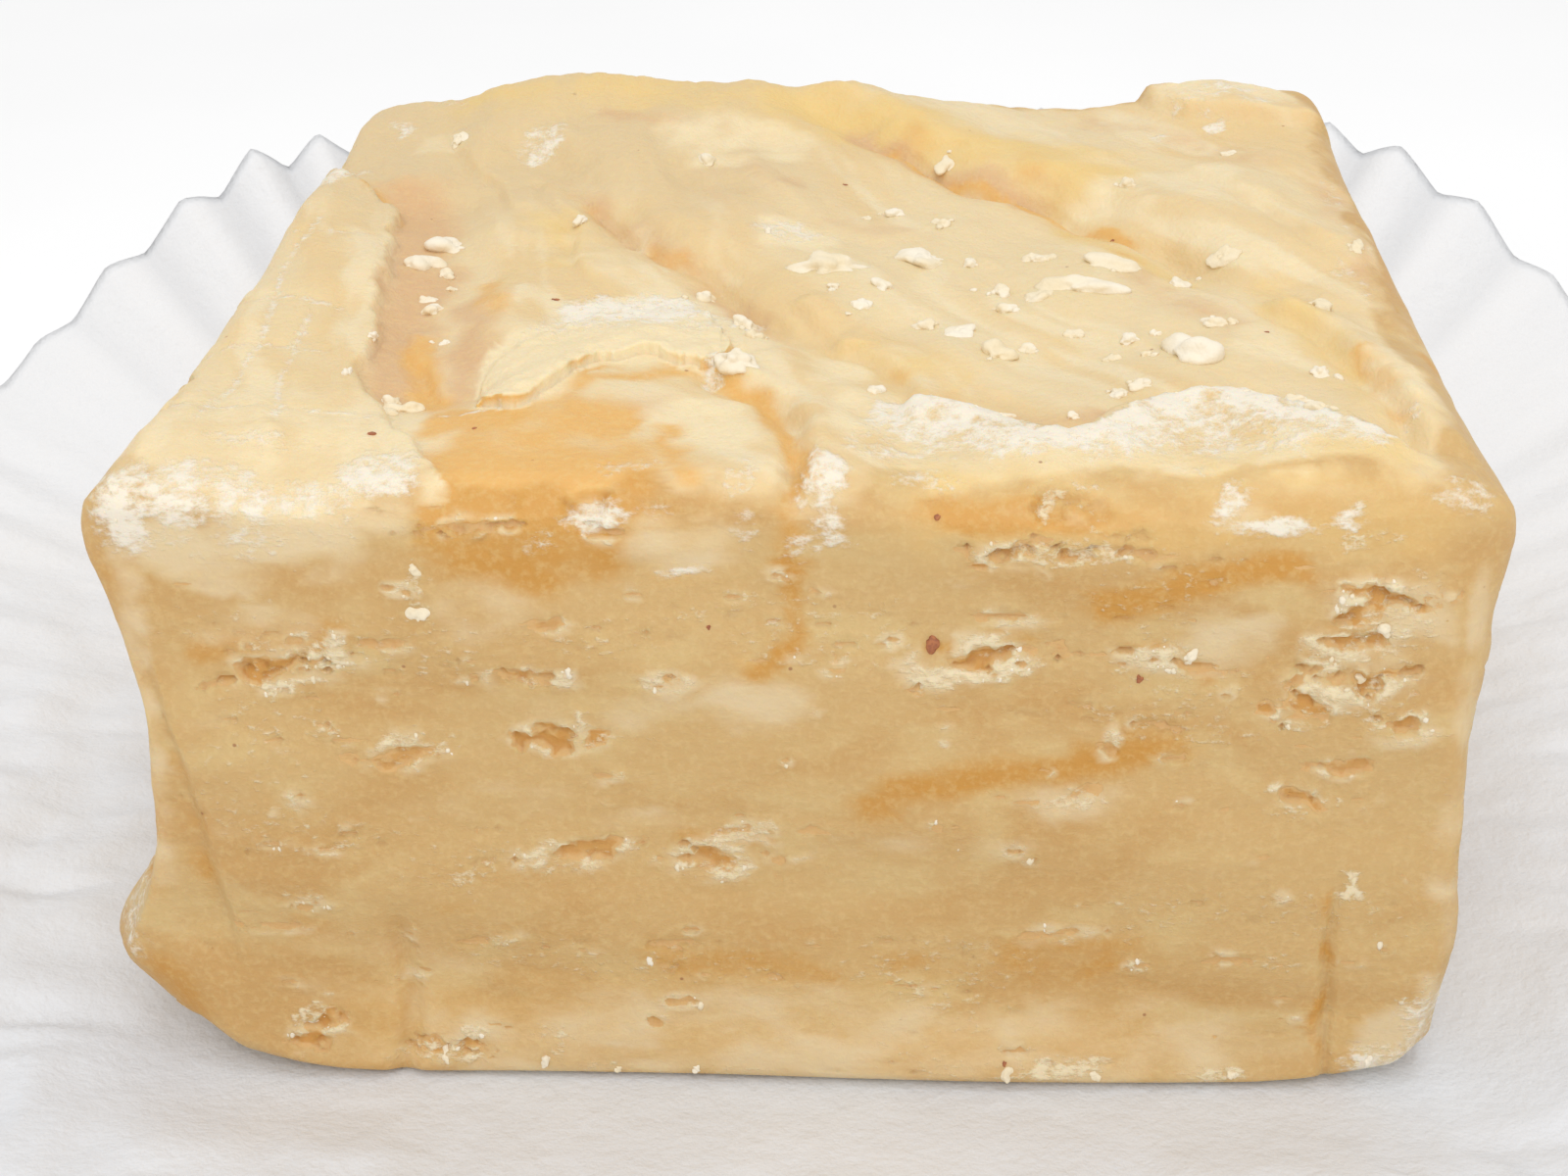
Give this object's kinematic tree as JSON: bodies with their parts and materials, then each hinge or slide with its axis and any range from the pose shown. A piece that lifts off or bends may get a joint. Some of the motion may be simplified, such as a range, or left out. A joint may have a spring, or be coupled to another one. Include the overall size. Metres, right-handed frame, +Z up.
{
  "type": "peanut butter fudge in a paper case",
  "caption": "Square-cut block of peanut butter fudge with a folded, flaking top and torn cut sides, resting in an opened fluted white paper case.",
  "frame": {"origin": "middle of the paper case's flat underside", "axes": "+Z up, +X to the right along the cut front face, +Y towards the back, where the paper wall stands highest"},
  "size_m": [0.1512, 0.1486, 0.0346],
  "materials": {
    "fudge": "waxy, with crumbly torn patches",
    "paper": "matte white, pleated"
  },
  "bodies": {
    "root": {"fudge_slab": "fudge", "paper_case": "paper"}
  },
  "joints": []
}
